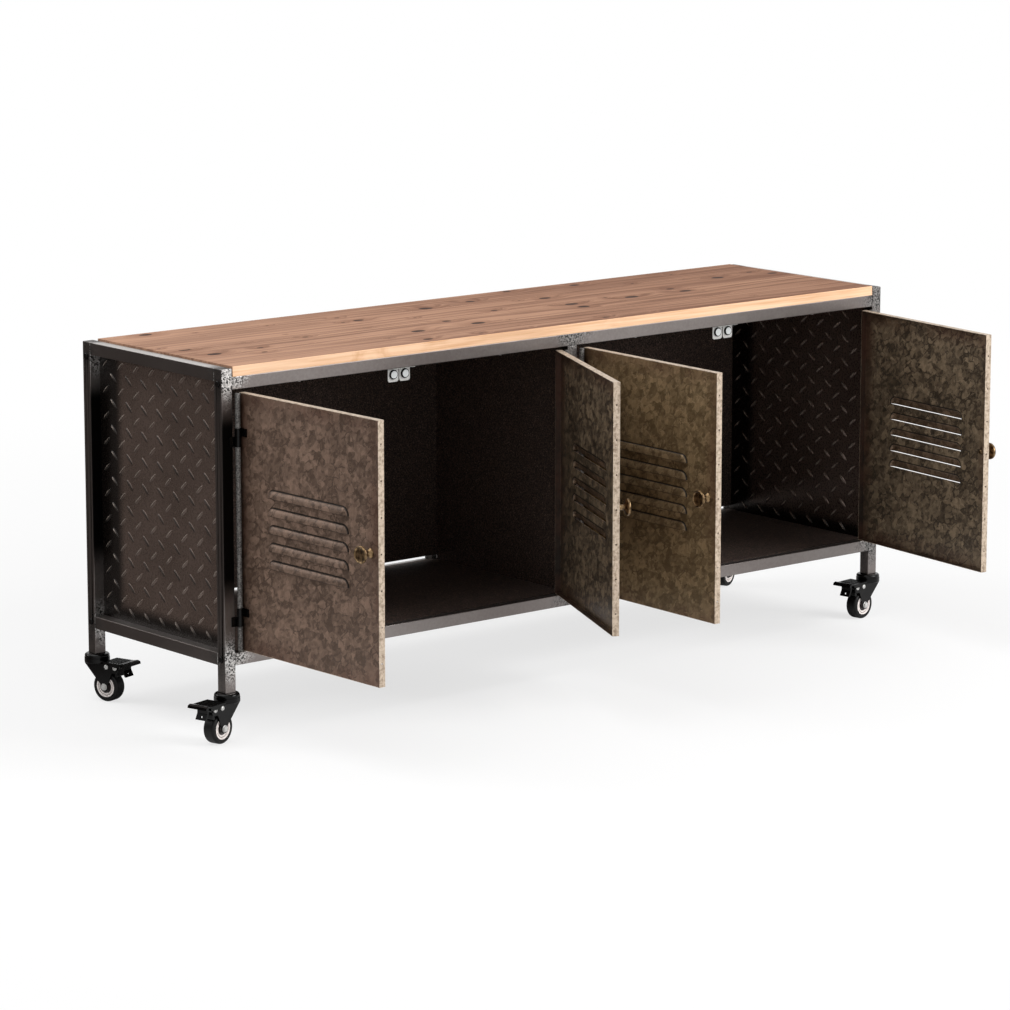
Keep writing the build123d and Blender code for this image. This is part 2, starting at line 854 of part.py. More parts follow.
def write_doors():
    """The four doors, each with its own pieces."""
    pieces = {
        "panel": [door_panel()],
        "hinges": door_hinges(),
        "knob": door_knob(),
        "strike": [door_strike()],
    }
    for door in DOORS:
        for piece, solids in pieces.items():
            write(f"{door[0]}_{piece}", *[place_door(solid, door) for solid in solids])


def write_casters():
    """The turning parts of the four casters."""
    pieces = {
        "fork": [caster_fork()],
        "axle": caster_axle(),
        "tyre": [caster_tyre()],
        "hub": [caster_hub()],
        "pedal": [caster_pedal()],
    }
    for caster in CASTERS:
        for piece, solids in pieces.items():
            write(f"{caster[0]}_{piece}", *[place_caster(solid, caster) for solid in solids])


os.makedirs("parts", exist_ok=True)
write_frame()
write_doors()
write_casters()
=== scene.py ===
# %% [markdown]
# # A low sideboard on casters
# The cabinet is a frame of dark square tube on four braked casters. It has a plank top, pressed
# chequer plate in its ends, and four louvred doors of patinated zinc sheet that magnets hold shut.
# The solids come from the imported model, which fixes every place and size in metres.
# This script dresses them: solids that have the right shape keep it and get a finish,
# and a few small ones give way to finer turned or pressed pieces.

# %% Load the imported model
import json
import math

import bmesh
import bpy
from mathutils import Matrix, Vector


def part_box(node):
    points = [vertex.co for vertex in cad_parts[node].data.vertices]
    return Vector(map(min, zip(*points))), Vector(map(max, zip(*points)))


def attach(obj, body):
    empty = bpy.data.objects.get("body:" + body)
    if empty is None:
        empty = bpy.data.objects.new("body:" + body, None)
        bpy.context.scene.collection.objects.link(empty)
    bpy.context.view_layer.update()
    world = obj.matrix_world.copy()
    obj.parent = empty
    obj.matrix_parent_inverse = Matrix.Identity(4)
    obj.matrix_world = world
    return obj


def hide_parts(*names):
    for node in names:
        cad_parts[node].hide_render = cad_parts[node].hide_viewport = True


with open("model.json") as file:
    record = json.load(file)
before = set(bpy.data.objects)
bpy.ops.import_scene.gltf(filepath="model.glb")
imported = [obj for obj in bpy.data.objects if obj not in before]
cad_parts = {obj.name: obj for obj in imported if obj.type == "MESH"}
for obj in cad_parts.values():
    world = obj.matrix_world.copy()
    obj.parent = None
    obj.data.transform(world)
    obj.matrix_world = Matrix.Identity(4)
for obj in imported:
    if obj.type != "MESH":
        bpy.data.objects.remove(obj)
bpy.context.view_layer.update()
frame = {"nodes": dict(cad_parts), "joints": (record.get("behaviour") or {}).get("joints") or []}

nodes = frame["nodes"]
joints = {joint["name"]: joint for joint in frame["joints"]}
mm = 0.001

# %% [markdown]
# ## Shader maths as plain arithmetic
# Finishes are built from many small nodes, and wiring them one by one hides the idea.
# A node group would hide it as well. Instead one class wraps a socket: adding or multiplying
# two wires adds the Math node, and one method adds every other kind of node.

# %% A wire in a material


class Wire:
    """An output socket in one material. Arithmetic on wires adds Math nodes."""

    def __init__(self, tree, socket=None):
        self.tree = tree
        self.socket = socket

    def node(self, kind, settings=None, sockets=None, output=0):
        """Add a node: its settings first, then the value or link of each socket."""
        made = self.tree.nodes.new("ShaderNode" + kind)
        for name, value in (settings or {}).items():
            setattr(made, name, value)
        for name, value in (sockets or {}).items():
            if isinstance(value, Wire):
                self.tree.links.new(value.socket, made.inputs[name])
            else:
                made.inputs[name].default_value = value
        return Wire(self.tree, made.outputs[output])

    def also(self, output):
        """Another output of the same node."""
        return Wire(self.tree, self.socket.node.outputs[output])

    def maths(self, operation, first, second=0.0):
        """A Math node on two numbers or wires."""
        return self.node("Math", {"operation": operation}, {0: first, 1: second})

    def __add__(self, other):
        return self.maths("ADD", self, other)

    __radd__ = __add__

    def __sub__(self, other):
        return self.maths("SUBTRACT", self, other)

    def __rsub__(self, other):
        return self.maths("SUBTRACT", other, self)

    def __mul__(self, other):
        return self.maths("MULTIPLY", self, other)

    __rmul__ = __mul__

    def __truediv__(self, other):
        return self.maths("DIVIDE", self, other)

    def __rtruediv__(self, other):
        return self.maths("DIVIDE", other, self)

    def __abs__(self):
        return self.maths("ABSOLUTE", self)

    def floor(self):
        return self.maths("FLOOR", self)

    def least(self, other):
        return self.maths("MINIMUM", self, other)

    def most(self, other):
        return self.maths("MAXIMUM", self, other)

    def rise(self, start, end):
        """0 before start and 1 after end, with a soft step between. start may be the larger."""
        return self.node("MapRange", {"interpolation_type": "SMOOTHSTEP"},
                         {"Value": self, "From Min": start, "From Max": end})


# %% Colours


def paint(red, green, blue):
    """A colour given as it looks on a screen, 0 to 255, in the shader's linear values."""
    return tuple((part / 255 / 12.92) if part < 11 else ((part / 255 + 0.055) / 1.055) ** 2.4
                 for part in (red, green, blue)) + (1.0,)


def blend(mask, under, over):
    """One colour over another where the mask is 1."""
    return mask.node("Mix", {"data_type": "RGBA"}, {0: mask, 6: under, 7: over}, output=2)


print("a screen grey of 128 is", round(paint(128, 128, 128)[0], 3), "in linear light")

# %% Places and patterns


def axes(vector):
    """The three numbers of a vector."""
    split = vector.node("SeparateXYZ", {}, {0: vector})
    return split, split.also("Y"), split.also("Z")


def facing(place):
    """The direction that the surface faces, as three numbers in the piece's own axes."""
    return axes(place.node("TexCoord", output="Normal"))


def length_of(first, second):
    """The length of a step by two numbers, each square to the other."""
    step = first.node("CombineXYZ", {}, {0: first, 1: second})
    return step.node("VectorMath", {"operation": "LENGTH"}, {0: step}, output="Value")


def stretched(place, scale):
    """Coordinates multiplied along each axis."""
    return place.node("VectorMath", {"operation": "MULTIPLY"}, {0: place, 1: scale})


def mottle(place, scale, detail=3.0, roughness=0.55):
    """Cloudy noise from 0 to 1, with scale lumps to the metre."""
    return place.node("TexNoise", {}, {"Vector": place, "Scale": scale, "Detail": detail,
                                       "Roughness": roughness})


def flakes(place, scale, dimensions="3D"):
    """Irregular cells, scale to the metre. The first output is the distance from each middle."""
    return place.node("TexVoronoi", {"voronoi_dimensions": dimensions},
                      {"Vector": place, "Scale": scale})


def bump(height, strength, depth):
    """A surface that rises with height, by up to depth metres."""
    return height.node("Bump", {}, {"Strength": strength, "Distance": depth, "Height": height})


# %% Finishes


def finish(name, recipe):
    """A material whose Principled shader takes what the recipe gives for its sockets."""
    material = bpy.data.materials.new(name)
    material.use_nodes = True
    tree = material.node_tree
    shader = tree.nodes["Principled BSDF"]
    place = Wire(tree).node("TexCoord", output="Object")
    for socket, value in recipe(place).items():
        if isinstance(value, Wire):
            tree.links.new(value.socket, shader.inputs[socket])
        else:
            shader.inputs[socket].default_value = value
    print(name, "has", len(tree.nodes), "nodes")
    return material


def wear(material, *names):
    """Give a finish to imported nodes."""
    for name in names:
        slots = nodes[name].data.materials
        slots.clear()
        slots.append(material)


# %% [markdown]
# ## The plank top
# The top is glued up from knotty softwood planks that run the length of the cabinet, oiled to a
# dull pinkish brown. Paint paler at the left and browner at the right stands in for the fall of
# light across the top, a painted gradient of light. The front edge is painted pale and orange,
# a painted highlight on the face turned to the front.
# A picture of wood would repeat and stretch, so the grain is worked out in place: bands along the
# plank that noise bends, and cells whose middles become knots. Each plank shifts the pattern.

# %% Wood finish
wood_low, wood_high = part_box("wood_top")
plank_count = 4
plank_width = (wood_high.y - wood_low.y) / plank_count
plank_shift = (3.7, 0.43)  # along and across, in metres
knots_to_metre = 13.0
knot_spread = 0.2
rings_to_metre = 110.0
painted_light_left = (0.2, -0.7)  # where a change starts and where it is complete, in metres
painted_shade_right = (-0.1, 0.7)


def oiled_planks(place):
    x, y, z = axes(place)
    plank = ((y - wood_low.y) / plank_width).floor()
    along = x + plank * plank_shift[0]
    across = y + plank * plank_shift[1]
    grain_place = place.node("CombineXYZ", {}, {0: along, 1: across, 2: z})
    knot_cells = flakes(stretched(grain_place, (0.6, 1.0, 1.0)), knots_to_metre, "2D")
    knot_size = (axes(knot_cells.also("Color"))[0] - 0.3).most(0.001) * knot_spread
    knot = (knot_cells + 0.03 * mottle(grain_place, 90.0)).rise(knot_size, knot_size * 0.75)
    swirl = knot_cells.rise(knot_size * 4.0, knot_size * 0.5)
    sway = mottle(stretched(grain_place, (1.6, 9.0, 9.0)), 1.0, 2.0)
    ring = across * rings_to_metre + sway * 6.0 + swirl * 2.4
    ring_place = place.node("CombineXYZ", {}, {0: along * 0.9, 1: ring, 2: z * 40.0})
    bands = mottle(ring_place, 1.0)
    fibres = mottle(stretched(grain_place, (9.0, 620.0, 400.0)), 1.0, 2.0)
    cloud = mottle(stretched(grain_place, (2.6, 8.0, 8.0)), 1.0)
    tone = bands * 0.6 + fibres * 0.3 + cloud * 0.3
    face = blend(tone.rise(0.46, 0.73), paint(174, 133, 107), paint(98, 62, 44))
    shade = plank.node("TexWhiteNoise", {"noise_dimensions": "1D"}, {"W": plank})
    face = blend(shade * 0.3, face, paint(140, 102, 81))
    # Painted light: paler towards the left end and browner towards the right, for the fall of light
    # across the top.
    face = blend(x.rise(*painted_light_left) * 0.24, face, paint(216, 174, 147))
    face = blend(x.rise(*painted_shade_right) * 0.22, face, paint(120, 78, 54))
    face = blend(swirl * 0.45, face, paint(116, 78, 58))
    face = blend(knot, face, paint(46, 25, 17))
    streak = fibres.rise(0.58, 0.7) * cloud.rise(0.45, 0.65)
    face = blend(streak * 0.65, face, paint(92, 58, 42))
    # Painted highlight: the front edge is a paler, more orange copy of the wood on faces turned to
    # the front.
    lit_edge_tone = (bands * 0.6 + fibres * 0.5).rise(0.35, 0.8)
    edge = blend(lit_edge_tone, paint(244, 205, 171), paint(212, 162, 120))
    edge = blend(knot * 0.5, edge, paint(176, 110, 62))
    front = facing(place)[1].rise(-0.35, -0.75)
    height = bands * 0.4 + fibres * 0.6 - knot * 0.5
    return {"Base Color": blend(front, face, edge), "Roughness": 0.56 + fibres * 0.18,
            "Normal": bump(height, 0.35, 0.6 * mm), "Specular IOR Level": 0.12}


wear(finish("oiled_planks", oiled_planks), "wood_top")

# %% [markdown]
# ## The painted tube
# The frame is square tube under thin dark paint with a dull shine. At the corners and over the
# centre posts the weld was ground bright, and black specks of spatter and old paint remain there.
# A noise threshold makes specks, and a mask keeps them near those joints. The mask measures how
# far a point is from the nearest joint, with left and right folded together.
# Tops of the upper rails are paler, a painted reflection; end faces are darker, painted shade; and
# the fronts of the posts are nearly black between their joints, a painted dark reflection. The
# ground metal at the joints is painted darker towards the right as painted shade, and is darker on
# faces that don't look front or back, where it is scorched and in painted shade. The direction of
# the surface and its place tell these apart, so one finish does for all.

# %% Places on the frame
post_low, post_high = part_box("front_right_post")
rail_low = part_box("front_top_rail")[0]
low_rail_low, low_rail_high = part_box("front_bottom_rail")
rear_low, rear_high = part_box("rear_right_post")
joint_x = (post_low.x + post_high.x) / 2
post_width = post_high.x - post_low.x
joint_depths = ((post_low.y + post_high.y) / 2, (rear_low.y + rear_high.y) / 2)
top_joint = (post_high.z + rail_low.z) / 2
foot_joint = (low_rail_low.z + low_rail_high.z) / 2
# Heights and width of the painted dark reflection on the fronts of the posts.
dark_reflection_foot = (foot_joint + 70 * mm, foot_joint + 130 * mm)
dark_reflection_head = (top_joint - 35 * mm, top_joint - 75 * mm)
dark_reflection_sides = (post_width * 0.62, post_width * 0.52)
# Heights where the tops of the upper rails get their painted reflection.
lit_top_heights = (top_joint - 50 * mm, top_joint - 20 * mm)
weld_reach = (95 * mm, 50 * mm)
# Where painted shade darkens the ground joint metal, from the left end inwards.
ground_shade_side = (-0.66, -0.3)
square_on = (0.4, 0.8)  # how squarely a face looks along an axis, from 0 to 1
print("joints at x", round(joint_x, 4), "and z", round(foot_joint, 4), round(top_joint, 4))

# %% Frame finish


def from_post(x):
    """How far sideways a point is from the middle of the nearest post."""
    side = abs(x)
    return abs(side - joint_x).least(side)


def ground_joints(place):
    """1 near the welded joints, fading over a few centimetres."""
    x, y, z = axes(place)
    upward = abs(z - top_joint).least(abs(z - foot_joint))
    inward = abs(y - joint_depths[0]).least(abs(y - joint_depths[1]))
    ragged = mottle(place, 70.0) * 0.05
    return (from_post(x) + upward + inward * 1.5 + ragged).rise(*weld_reach)


def tube_paint(place):
    near = ground_joints(place)
    x, _, z = axes(place)
    endways, turned, upward = facing(place)
    grit = mottle(place, 340.0, 2.0, 0.6)
    fine = mottle(place, 240.0, 4.0)
    cloud = mottle(stretched(place, (3.0, 9.0, 9.0)), 1.0)
    plain = blend((cloud * 0.7 + fine * 0.3).rise(0.3, 0.75),
                  paint(112, 104, 101), paint(134, 128, 125))
    # Painted shade: end faces are darker than the rest of the tube.
    ends = blend(cloud, paint(80, 73, 70), paint(100, 93, 90))
    plain = blend(abs(endways).rise(*square_on), plain, ends)
    # Painted reflection: the tops of the upper rails are paler.
    lit_tops = upward.rise(*square_on) * z.rise(*lit_top_heights)
    plain = blend(lit_tops * 0.7, plain, paint(214, 211, 208))
    # Painted dark reflection: the fronts of the posts are nearly black between their joints.
    dark_reflection = from_post(x).rise(*dark_reflection_sides) * (0 - turned).rise(*square_on)
    dark_reflection = dark_reflection * z.rise(*dark_reflection_foot) * z.rise(*dark_reflection_head)
    plain = blend(dark_reflection, plain, paint(9, 8, 7))
    ground = blend(fine.rise(0.35, 0.65), paint(150, 147, 145), paint(222, 219, 216))
    # Painted shade: the ground joint metal is darker from the left end inwards.
    ground = blend(x.rise(*ground_shade_side) * 0.7, ground, paint(74, 70, 68))
    # On faces that don't look front or back the ground metal is darker: scorch, and painted shade.
    ground = blend(abs(turned).rise(*square_on), paint(76, 70, 67), ground)
    speck = (grit * 0.75 + fine * 0.25).rise(0.515, 0.54)
    joint = blend(speck, ground, paint(10, 9, 8))
    return {"Base Color": blend(near, plain, joint), "Metallic": 0.88 - speck * near * 0.75,
            "Roughness": 0.3 + fine * 0.12 + near * 0.08,
            "Normal": bump(fine * 0.3 + grit * near, 0.25, 0.4 * mm)}


tube_nodes = ("front_left_post", "front_right_post", "rear_left_post", "rear_right_post",
              "left_side_rails", "right_side_rails", "front_top_rail", "front_bottom_rail",
              "rear_top_rail", "rear_bottom_rail", "centre_posts")
wear(finish("tube_paint", tube_paint), *tube_nodes)

# %% Rounded tube edges
tube_rounding = 1.2 * mm


def ease_edges(radius, *names):
    """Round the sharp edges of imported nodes, as rolling and sanding do."""
    for name in names:
        weld = nodes[name].modifiers.new("join_corners", "WELD")
        weld.merge_threshold = 1e-6
        round_edge = nodes[name].modifiers.new("ease_edges", "BEVEL")
        round_edge.width = radius
        round_edge.segments = 2
        round_edge.limit_method = "ANGLE"
        round_edge.angle_limit = math.radians(40)
        round_edge.harden_normals = True


ease_edges(tube_rounding, *tube_nodes)
print("eased tubes", len(tube_nodes))

# %% [markdown]
# ## Sheet linings
# Floor, back and divider are thin sheet in a matt brown-black stove paint with a fine grit.
# Tiny pale points catch light. Voronoi cells cut at a small distance give such points,
# which plain noise can't: it has no isolated dots.

# %% Lining finish


def grit_paint(place):
    dots = flakes(place, 260.0).rise(0.32, 0.14) * mottle(place, 61.0).rise(0.36, 0.6)
    grain = mottle(place, 420.0, 2.0)
    base = blend(grain.rise(0.3, 0.75), paint(16, 11, 9), paint(78, 62, 54))
    return {"Base Color": blend(dots, base, paint(104, 87, 78)), "Metallic": 0.0,
            "Roughness": 0.72 + grain * 0.15, "Specular IOR Level": 0.3,
            "Normal": bump(grain + dots, 0.3, 0.4 * mm)}


wear(finish("grit_paint", grit_paint),
     "floor_panel", "back_panel", "centre_divider", "panel_rivets")

# %% [markdown]
# ## Chequer plate
# The ends are sheet pressed with raised lugs that lean left and right in turn. Bump alone would
# vanish along the edge of the plate, so every lug is a small closed mound of its own,
# on the outside and, where the press marks show through, on the inside.
# Outside, one upright row of lugs gets a painted highlight on its flanks that face up and back,
# and the next row painted shade, in turn. Inside, the crests are pale as worn paint and as painted
# highlight. A painted shadow darkens the plate beside the rear post and along the bottom rail.
# All of this follows from the height above the plate, the place on it and the way a face turns,
# so sheet and mounds share one finish.

# %% Plate finish
plate_low, plate_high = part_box("right_side_panel")
plate_inside, plate_outside = plate_low.x, plate_high.x
lug_height = 1.9 * mm
lug_pitch = 41.5 * mm
lug_start = 37 * mm
# Reaches of the painted shadow beside the rear post and along the bottom rail.
shadow_rear = (66 * mm, 40 * mm)
shadow_foot = (34 * mm, 12 * mm)


def plate_paint(place):
    x, y, z = axes(place)
    side = abs(x)
    fine = mottle(place, 300.0)
    cloud = mottle(place, 9.0)
    base = blend((cloud * 0.7 + fine * 0.3).rise(0.3, 0.7), paint(84, 70, 63), paint(101, 86, 78))
    # Painted shadow: the plate goes nearly black beside the rear post and along the bottom rail.
    corner = (rear_low.y - y).rise(*shadow_rear).most((z - low_rail_high.z).rise(*shadow_foot))
    base = blend(corner * 0.92, base, paint(9, 7, 6))
    above = (side - plate_outside).most(plate_inside - side) / lug_height
    row = (rear_low.y - lug_start - y) / lug_pitch
    odd = abs(row - (row + 0.5).floor()).rise(0.2, 0.3).most(corner)
    outside = (side - plate_inside).rise(0, plate_outside - plate_inside)
    # Painted shade: every other row of lugs outside is darker.
    painted_shade_lugs = above.rise(0.1, 0.3) * (1 - odd) * outside
    base = blend(painted_shade_lugs * 0.75, base, paint(18, 15, 13))
    # Painted highlight on the lug flanks that face up and back, on every other row outside. Inside,
    # the crests are pale both as worn paint and as painted highlight.
    _, rearward, upward = facing(place)
    lit_flank = (rearward + upward).rise(-0.05, 0.25)
    crest_wear_and_highlight = above.rise(0.5, 0.85) * (0.06 + 0.94 * odd * lit_flank)
    crest_wear_and_highlight = crest_wear_and_highlight.most(above.rise(0.6, 0.9) * (1 - outside))
    return {"Base Color": blend(crest_wear_and_highlight, base, paint(188, 175, 164)), "Metallic": 0.6,
            "Roughness": 0.22 + fine * 0.12, "Normal": bump(fine, 0.2, 0.3 * mm)}


plate = finish("plate_paint", plate_paint)
wear(plate, "left_side_panel", "right_side_panel")

# %% Pieces made here
quarter_turn = math.radians(90)
crease_angle = math.radians(38)


def piece(name, shape, material, body, place=None, stands_for=()):
    """Turn a bmesh into a named piece that rides on a body."""
    mesh = bpy.data.meshes.new(name)
    bmesh.ops.recalc_face_normals(shape, faces=shape.faces)
    shape.to_mesh(mesh)
    shape.free()
    mesh.set_sharp_from_angle(angle=crease_angle)
    mesh.materials.append(material)
    made = bpy.data.objects.new(name, mesh)
    bpy.context.scene.collection.objects.link(made)
    if place is not None:
        made.matrix_world = place
    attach(made, body)
    if stands_for:
        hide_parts(*stands_for)
    return made


# %% Pressed lugs
lug_length = 25 * mm
lug_width = 5.4 * mm
lug_lift = 3 * mm
lug_root = 0.3 * mm
lug_lean = math.radians(48)
lug_margin = lug_length * 0.45
lug_stations = 8
lug_section = ((-1.0, 0.0), (-0.6, 0.72), (0.0, 1.0), (0.6, 0.72), (1.0, 0.0))


def add_lug(shape, place):
    """A long mound on the local XY plane, pointed at both ends and closed underneath."""
    def point(along, across, up):
        return shape.verts.new(place @ Vector((along * lug_length / 2, across, up)))

    rows = []
    for step in range(1, lug_stations):
        share = 2 * step / lug_stations - 1
        swell = math.sqrt(1 - share * share)
        rows.append([point(share, side * swell * lug_width / 2, rise * swell * lug_height)
                     for side, rise in lug_section] + [point(share, 0, -lug_root)])
    tips = [point(end, 0, -lug_root) for end in (-1, 1)]
    for before, after in zip(rows, rows[1:]):
        for index in range(len(before)):
            following = (index + 1) % len(before)
            shape.faces.new((before[index], before[following], after[following], after[index]))
    for tip, row in ((tips[0], rows[0]), (tips[1], rows[-1])):
        for index in range(len(row)):
            shape.faces.new((tip, row[index], row[(index + 1) % len(row)]))


def chequer(side, name):
    """All the lugs of one end plate."""
    low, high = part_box(f"{name}_side_panel")
    columns = int((high.y - low.y) / lug_pitch) + 3
    lines = int((high.z - low.z) / lug_pitch) + 2
    outer, inner = (high.x, low.x) if side > 0 else (low.x, high.x)
    shape = bmesh.new()
    for x, out in ((outer, side), (inner, -side)):
        for column in range(2 * columns):
            for line in range(column % 2, 2 * lines, 2):
                y = rear_low.y - lug_start - (column - 2) * lug_pitch / 2
                z = low.z + lug_margin + line * lug_pitch / 2 + lug_lift
                if not (low.y + lug_margin < y < high.y - lug_margin
                        and low.z + lug_margin < z < high.z - lug_margin):
                    continue
                lean = Matrix.Rotation(-lug_lean if column % 2 else lug_lean, 4, "Z")
                turn = Matrix.Rotation(quarter_turn * out, 4, "Y") @ lean
                add_lug(shape, Matrix.Translation((x, y, z)) @ turn)
    for face in shape.faces:
        face.smooth = True
    return piece(f"{name}_panel_lugs", shape, plate, "frame")


for side, name in ((-1, "left"), (1, "right")):
    print(name, "lug faces", len(chequer(side, name).data.polygons))

# %% [markdown]
# ## Zinc doors
# The doors are trays of galvanised sheet. Zinc freezes in leaf-like crystals, and a brown patina
# was rubbed over them, olive on the third door and with deeper shades inside. Cells give
# the leaves, cell borders the fine cracks, and each leaf also lies a little higher or lower.
# Every louvre has a dark line along its pressed arch and a fainter painted shadow under its
# open lip. The folded rims were sanded back to pale bare metal, with painted shade on their
# insides. The strike plates wear the zinc of their door.
# The doors stand at different angles, so each gets its own copy of the finish: a Mapping node
# turns the coordinates into the door's own frame, where rims and louvres are simple limits.

# %% Door frames
door_names = ("left_end_door", "left_centre_door", "right_centre_door", "right_end_door")
door_edge = -4.7 * mm
door_width = 332 * mm
door_face = 6.8 * mm
sheet = 1.2 * mm
door_low, door_high = (corner.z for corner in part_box("left_end_door_panel"))


def door_hand(name):
    """1 where the closed door runs from its hinge to the right, -1 to the left."""
    return -round(joints[f"{name}_hinge"]["axis"][2])


def door_place(name):
    """The matrix from a door's own frame, with its hinge axis as origin, to the row frame."""
    joint = joints[f"{name}_hinge"]
    turn = math.radians(door_hand(name) * joint["range_deg"][0])
    hinge = Vector((joint["pos_m"][0], joint["pos_m"][1], 0))
    return Matrix.Translation(hinge) @ Matrix.Rotation(turn, 4, "Z")


print("doors from", round(door_low, 4), "to", round(door_high, 4), "m above the floor")

# %% Zinc leaves and louvre creases
leaves_to_metre = 80.0
chips_to_metre = 200.0
louvre_count = 5
louvre_length = 192 * mm
louvre_height = 13 * mm
louvre_pitch = 27.2 * mm
louvre_lift = 139.5 * mm
louvre_top = louvre_count * louvre_pitch
crease_side = (1.5 * mm, 0.5 * mm)
hair = 0.01 * mm  # too small to see: makes a sharp limit


def zinc_leaves(local, x, y, z):
    """The tone and the relief of the leaves, then the streaks and clouds of the patina."""
    warp = mottle(local, 60.0, 4.0, 0.65)
    leaf_place = local.node("CombineXYZ", {}, {0: x * 0.9 + warp * 0.022, 1: y * 0.2,
                                               2: z + warp * 0.02})
    leaf = axes(flakes(leaf_place, leaves_to_metre).also("Color"))[0]
    chip = axes(flakes(leaf_place, chips_to_metre).also("Color"))[1]
    streak = mottle(stretched(local, (170.0, 170.0, 60.0)), 1.0, 3.0, 0.6)
    cloud = mottle(local, 7.0)
    border = leaf_place.node("TexVoronoi", {"feature": "DISTANCE_TO_EDGE"},
                             {"Vector": leaf_place, "Scale": leaves_to_metre})
    crack = border.rise(0.09, 0.01) * mottle(local, 45.0).rise(0.48, 0.6)
    tone = leaf * 0.26 + chip * 0.22 + streak * 0.3 + cloud * 0.26 - crack * 0.4
    return tone, leaf * 0.6 + chip * 0.4, streak, cloud


def louvre_creases_and_lip_shadows(x, z):
    """1 along the pressed arch of each louvre, and less along its open lip, where it is a painted
    shadow.
    """
    beyond = (abs(x - door_edge - door_width / 2) - louvre_length / 2 + louvre_height).most(0)
    climb = z - door_low - louvre_lift
    step = climb - (climb / louvre_pitch).floor() * louvre_pitch
    arch = abs(length_of(beyond, step) - louvre_height).rise(*crease_side)
    arch = arch * climb.rise(0, hair) * climb.rise(louvre_top, louvre_top - hair)
    # Painted shadow under the open lip of each louvre.
    lip_shadow = beyond.rise(louvre_height, louvre_height * 0.8) * step.rise(*crease_side) * 0.6
    lip_shadow = lip_shadow * climb.rise(-10 * hair, 0) * climb.rise(louvre_top + 10 * hair, louvre_top)
    return arch.most(lip_shadow)


print("louvres from", round(door_low + louvre_lift, 4), "m up")

# %% Zinc finish
patina = {name: (paint(88, 71, 54), paint(150, 125, 102)) for name in door_names}
patina["left_end_door"] = (paint(86, 68, 56), paint(145, 119, 102))
patina["right_centre_door"] = (paint(94, 77, 52), paint(158, 134, 100))
louvre_shade = (0.5 * mm, 3 * mm)
hinge_shade = (30 * mm, 2 * mm)
rust_reach = (35 * mm, 2 * mm)
bare_rim = (1.2 * mm, 0.6 * mm)


def zinc(name):
    """The finish of one door, in that door's own coordinates."""
    back = door_place(name).inverted()
    hand = door_hand(name)

    def recipe(place):
        local = place.node("Mapping", {"vector_type": "POINT"},
                           {0: place, 1: back.translation, 2: back.to_euler()})
        x, y, z = axes(local)
        x = x * hand
        tone, relief, streak, cloud = zinc_leaves(local, x, y, z)
        outer = blend(tone.rise(0.26, 0.8), *patina[name])
        inner = blend(tone.rise(0.24, 0.88), paint(58, 48, 37), paint(150, 130, 105))
        body = blend(y.rise(door_face + sheet * 0.4, door_face + sheet * 0.8), outer, inner)
        crease_and_lip_shadow = louvre_creases_and_lip_shadows(x, z)
        body = blend(crease_and_lip_shadow * 0.95, body, paint(20, 15, 11))
        body = blend((door_face - y).rise(*louvre_shade) * 0.22, body, paint(62, 48, 38))
        from_hinge = x - door_edge
        body = blend(from_hinge.rise(*hinge_shade) * 0.6, body, paint(44, 30, 21))
        to_rim = from_hinge.least(door_width - from_hinge)
        to_rim = to_rim.least(z - door_low).least(door_high - z)
        # Painted shade on the inside of the folded rims.
        rim_inside_shade = y.rise(door_face + sheet, door_face + 2 * sheet)
        rim_inside_shade = rim_inside_shade * to_rim.rise(2 * sheet, 1.5 * sheet)
        body = blend(rim_inside_shade * 0.8, body, paint(24, 18, 13))
        rust = to_rim.rise(*rust_reach) * (cloud * 0.7 + streak * 0.3).rise(0.38, 0.6)
        body = blend(rust * 0.6, body, paint(78, 46, 32))
        scuff = mottle(local, 180.0)
        bare = blend((scuff * 0.7 + streak * 0.3).rise(0.4, 0.66),
                     paint(194, 176, 156), paint(138, 120, 102))
        rim = (to_rim + scuff * (0.6 * mm)).rise(*bare_rim)
        height = relief + streak * 0.4 - crease_and_lip_shadow * 0.5
        return {"Base Color": blend(rim, body, bare), "Metallic": 0.4 - rim * 0.2,
                "Roughness": 0.36 + tone * 0.22, "Normal": bump(height, 0.85, 0.8 * mm)}

    return finish(f"{name}_zinc", recipe)


for name in door_names:
    wear(zinc(name), f"{name}_panel", f"{name}_strike")

# %% [markdown]
# ## Small metal: bronze, bright steel, black enamel
# Knobs are aged bronze, rubbed bright where hands touch. Catch plates and axle bolts are
# zinc-bright steel. Hinges, bolts and caster forks share a glossy black enamel.
# Each is one plain metal with a little uneven roughness, which is what the eye reads as real metal.

# %% Small metal finishes


def aged_bronze(place):
    cloud = mottle(place, 160.0, 4.0)
    return {"Base Color": blend(cloud.rise(0.35, 0.7), paint(68, 52, 35), paint(150, 124, 90)),
            "Metallic": 0.9, "Roughness": 0.22 + cloud * 0.15,
            "Normal": bump(cloud, 0.1, 0.3 * mm)}


def bright_steel(place):
    brush = mottle(stretched(place, (300.0, 300.0, 1600.0)), 1.0, 2.0)
    return {"Base Color": blend(brush, paint(168, 167, 165), paint(214, 213, 210)),
            "Metallic": 0.5, "Roughness": 0.28 + brush * 0.2,
            "Normal": bump(brush, 0.1, 0.2 * mm)}


def magnet_face(place):
    grain = mottle(place, 900.0, 2.0)
    return {"Base Color": blend(grain, paint(176, 178, 178), paint(206, 208, 208)),
            "Metallic": 0.3, "Roughness": 0.45 + grain * 0.15}


def black_enamel(place):
    peel = mottle(place, 320.0, 2.0)
    dust = mottle(place, 60.0, 4.0).rise(0.55, 0.75)
    return {"Base Color": blend(dust * 0.5, paint(6, 5, 5), paint(22, 20, 19)),
            "Roughness": 0.1 + peel * 0.12, "Specular IOR Level": 0.18,
            "Normal": bump(peel, 0.15, 0.4 * mm)}


